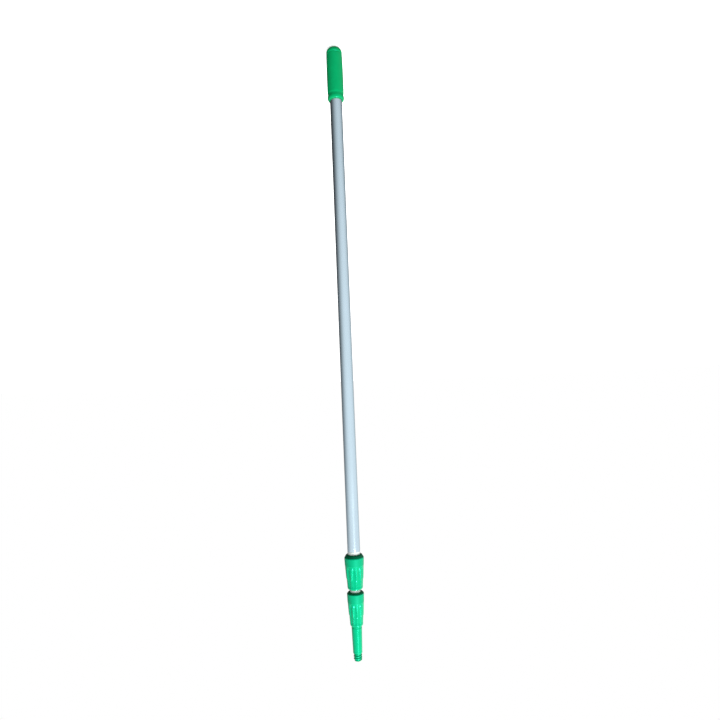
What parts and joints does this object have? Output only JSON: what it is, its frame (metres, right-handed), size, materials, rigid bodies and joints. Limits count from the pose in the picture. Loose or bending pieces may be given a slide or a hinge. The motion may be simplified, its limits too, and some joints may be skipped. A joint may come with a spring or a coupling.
{
  "type": "telescopic extension pole",
  "caption": "Closed telescopic pole of aluminium tubes with green twist-lock collars, a moulded hand grip at the foot and a tapered cone with a screw thread for tools at the top.",
  "frame": {"origin": "centre of the flat at the grip's end, on the pole's axis", "axes": "+Z along the pole from the grip end to the tool tip; -Y faces the side that the best view shows"},
  "size_m": [0.0448, 0.0448, 1.4385],
  "materials": {
    "tube_aluminium": "satin clear anodised tube, fine lengthwise draw lines",
    "grip_green": "satin moulded grip, mid green",
    "lock_green": "semi-gloss moulded plastic, bright green",
    "dark_green": "matte moulded ring, dark green",
    "natural_nylon": "unpigmented nylon, satin",
    "pin_steel": "plain steel pins"
  },
  "bodies": {
    "outer_section": {"outer_tube": "tube_aluminium", "hand_grip": "grip_green", "grip_end_cap": "grip_green", "lock_1_clamp_sleeve": "natural_nylon", "lock_1_sleeve_pin_left": "pin_steel", "lock_1_sleeve_pin_right": "pin_steel", "lock_1_clamp_ring": "natural_nylon"},
    "collar_1": {"twist_collar_1": "lock_green", "lock_1_retaining_ring": "dark_green"},
    "middle_guide": {"middle_guide_bush": "natural_nylon"},
    "middle_section": {"middle_tube": "tube_aluminium", "middle_end_ring": "natural_nylon", "middle_stop_ring": "tube_aluminium", "lock_2_clamp_sleeve": "natural_nylon", "lock_2_sleeve_pin_left": "pin_steel", "lock_2_sleeve_pin_right": "pin_steel", "lock_2_clamp_ring": "natural_nylon"},
    "collar_2": {"twist_collar_2": "lock_green", "lock_2_retaining_ring": "dark_green"},
    "inner_guide": {"inner_guide_bush": "natural_nylon"},
    "inner_section": {"inner_tube": "tube_aluminium", "inner_end_ring": "natural_nylon", "inner_stop_ring": "tube_aluminium", "tool_cone": "lock_green", "cone_cross_pin": "pin_steel"}
  },
  "joints": [
    {"name": "lock_1_turn", "type": "hinge", "parent": "outer_section", "child": "collar_1", "pos_m": [0, 0, 1.2188], "axis": [0, 0, 1], "range_deg": [0, 180]},
    {"name": "middle_slide", "type": "slide", "parent": "outer_section", "child": "middle_guide", "axis": [0, 0, 1], "range_m": [0, 1.112]},
    {"name": "middle_spin", "type": "hinge", "parent": "middle_guide", "child": "middle_section", "pos_m": [0, 0, 0.0346], "axis": [0, 0, 1], "continuous": true},
    {"name": "lock_2_turn", "type": "hinge", "parent": "middle_section", "child": "collar_2", "pos_m": [0, 0, 1.305], "axis": [0, 0, 1], "range_deg": [0, 180]},
    {"name": "inner_slide", "type": "slide", "parent": "middle_section", "child": "inner_guide", "axis": [0, 0, 1], "range_m": [0, 1.184]},
    {"name": "inner_spin", "type": "hinge", "parent": "inner_guide", "child": "inner_section", "pos_m": [0, 0, 0.0489], "axis": [0, 0, 1], "continuous": true}
  ]
}
